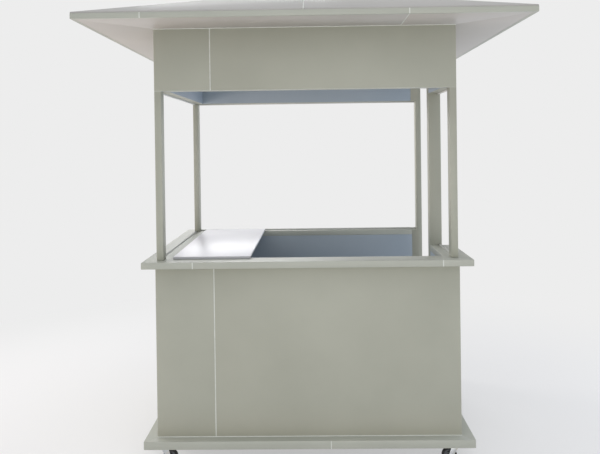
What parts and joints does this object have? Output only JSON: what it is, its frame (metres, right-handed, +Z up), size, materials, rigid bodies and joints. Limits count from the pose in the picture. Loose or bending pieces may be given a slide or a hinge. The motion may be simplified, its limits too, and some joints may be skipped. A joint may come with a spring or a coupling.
{
  "type": "guard booth",
  "caption": "Small square guard booth on casters with open window bands, a side doorway, sill ledges, a desk board and a low hipped roof with wide flat eaves.",
  "frame": {"origin": "on the ground under the centre of the booth", "axes": "+Z up, +X to the right and the doorway wall, +Y towards the rear, so the front faces -Y"},
  "size_m": [2.12, 1.82, 2.4729],
  "materials": {
    "wall_cladding": "satin coil-coated aluminium composite panel, sage grey",
    "edge_cladding": "satin coil-coated aluminium composite panel, folded",
    "roof_cladding": "satin coil-coated sheet",
    "floor_covering": "matt sheet floor covering",
    "desk_laminate": "white laminated board",
    "zinc_steel": "bright zinc plated pressed steel",
    "caster_rubber": "moulded black rubber"
  },
  "bodies": {
    "booth": {"base_front": "edge_cladding", "base_rear": "edge_cladding", "base_left": "edge_cladding", "base_right": "edge_cladding", "floor_panel": "floor_covering", "wall_front": "wall_cladding", "wall_rear": "wall_cladding", "wall_left": "wall_cladding", "wall_right": "wall_cladding", "ledge_front": "edge_cladding", "ledge_rear": "edge_cladding", "ledge_left": "edge_cladding", "ledge_right": "edge_cladding", "post_front_left": "wall_cladding", "post_front_right": "wall_cladding", "post_rear_left": "wall_cladding", "corner_rear_right": "wall_cladding", "door_jamb": "wall_cladding", "header_front": "wall_cladding", "header_rear": "wall_cladding", "header_left": "wall_cladding", "header_right": "wall_cladding", "door_head": "wall_cladding", "ceiling": "wall_cladding", "desk_board": "desk_laminate", "soffit_front": "wall_cladding", "soffit_rear": "wall_cladding", "soffit_left": "wall_cladding", "soffit_right": "wall_cladding", "fascia_front": "edge_cladding", "fascia_rear": "edge_cladding", "fascia_left": "edge_cladding", "fascia_right": "edge_cladding", "roof_front": "roof_cladding", "roof_rear": "roof_cladding", "roof_left": "roof_cladding", "roof_right": "roof_cladding", "caster_plate_front_left": "zinc_steel", "caster_plate_front_right": "zinc_steel", "caster_plate_rear_left": "zinc_steel", "caster_plate_rear_right": "zinc_steel"},
    "fork_front_left": {"caster_fork_front_left": "zinc_steel"},
    "wheel_front_left": {"caster_wheel_front_left": "caster_rubber"},
    "fork_front_right": {"caster_fork_front_right": "zinc_steel"},
    "wheel_front_right": {"caster_wheel_front_right": "caster_rubber"},
    "fork_rear_left": {"caster_fork_rear_left": "zinc_steel"},
    "wheel_rear_left": {"caster_wheel_rear_left": "caster_rubber"},
    "fork_rear_right": {"caster_fork_rear_right": "zinc_steel"},
    "wheel_rear_right": {"caster_wheel_rear_right": "caster_rubber"}
  },
  "joints": [
    {"name": "swivel_front_left", "type": "hinge", "parent": "booth", "child": "fork_front_left", "pos_m": [-0.728, -0.578, 0.0967], "axis": [0, 0, 1], "continuous": true},
    {"name": "roll_front_left", "type": "hinge", "parent": "fork_front_left", "child": "wheel_front_left", "pos_m": [-0.698, -0.578, 0.0375], "axis": [0, 1, 0], "continuous": true},
    {"name": "swivel_front_right", "type": "hinge", "parent": "booth", "child": "fork_front_right", "pos_m": [0.728, -0.578, 0.0967], "axis": [0, 0, 1], "continuous": true},
    {"name": "roll_front_right", "type": "hinge", "parent": "fork_front_right", "child": "wheel_front_right", "pos_m": [0.698, -0.578, 0.0375], "axis": [0, 1, 0], "continuous": true},
    {"name": "swivel_rear_left", "type": "hinge", "parent": "booth", "child": "fork_rear_left", "pos_m": [-0.728, 0.578, 0.0967], "axis": [0, 0, 1], "continuous": true},
    {"name": "roll_rear_left", "type": "hinge", "parent": "fork_rear_left", "child": "wheel_rear_left", "pos_m": [-0.698, 0.578, 0.0375], "axis": [0, 1, 0], "continuous": true},
    {"name": "swivel_rear_right", "type": "hinge", "parent": "booth", "child": "fork_rear_right", "pos_m": [0.728, 0.578, 0.0967], "axis": [0, 0, 1], "continuous": true},
    {"name": "roll_rear_right", "type": "hinge", "parent": "fork_rear_right", "child": "wheel_rear_right", "pos_m": [0.698, 0.578, 0.0375], "axis": [0, 1, 0], "continuous": true}
  ]
}
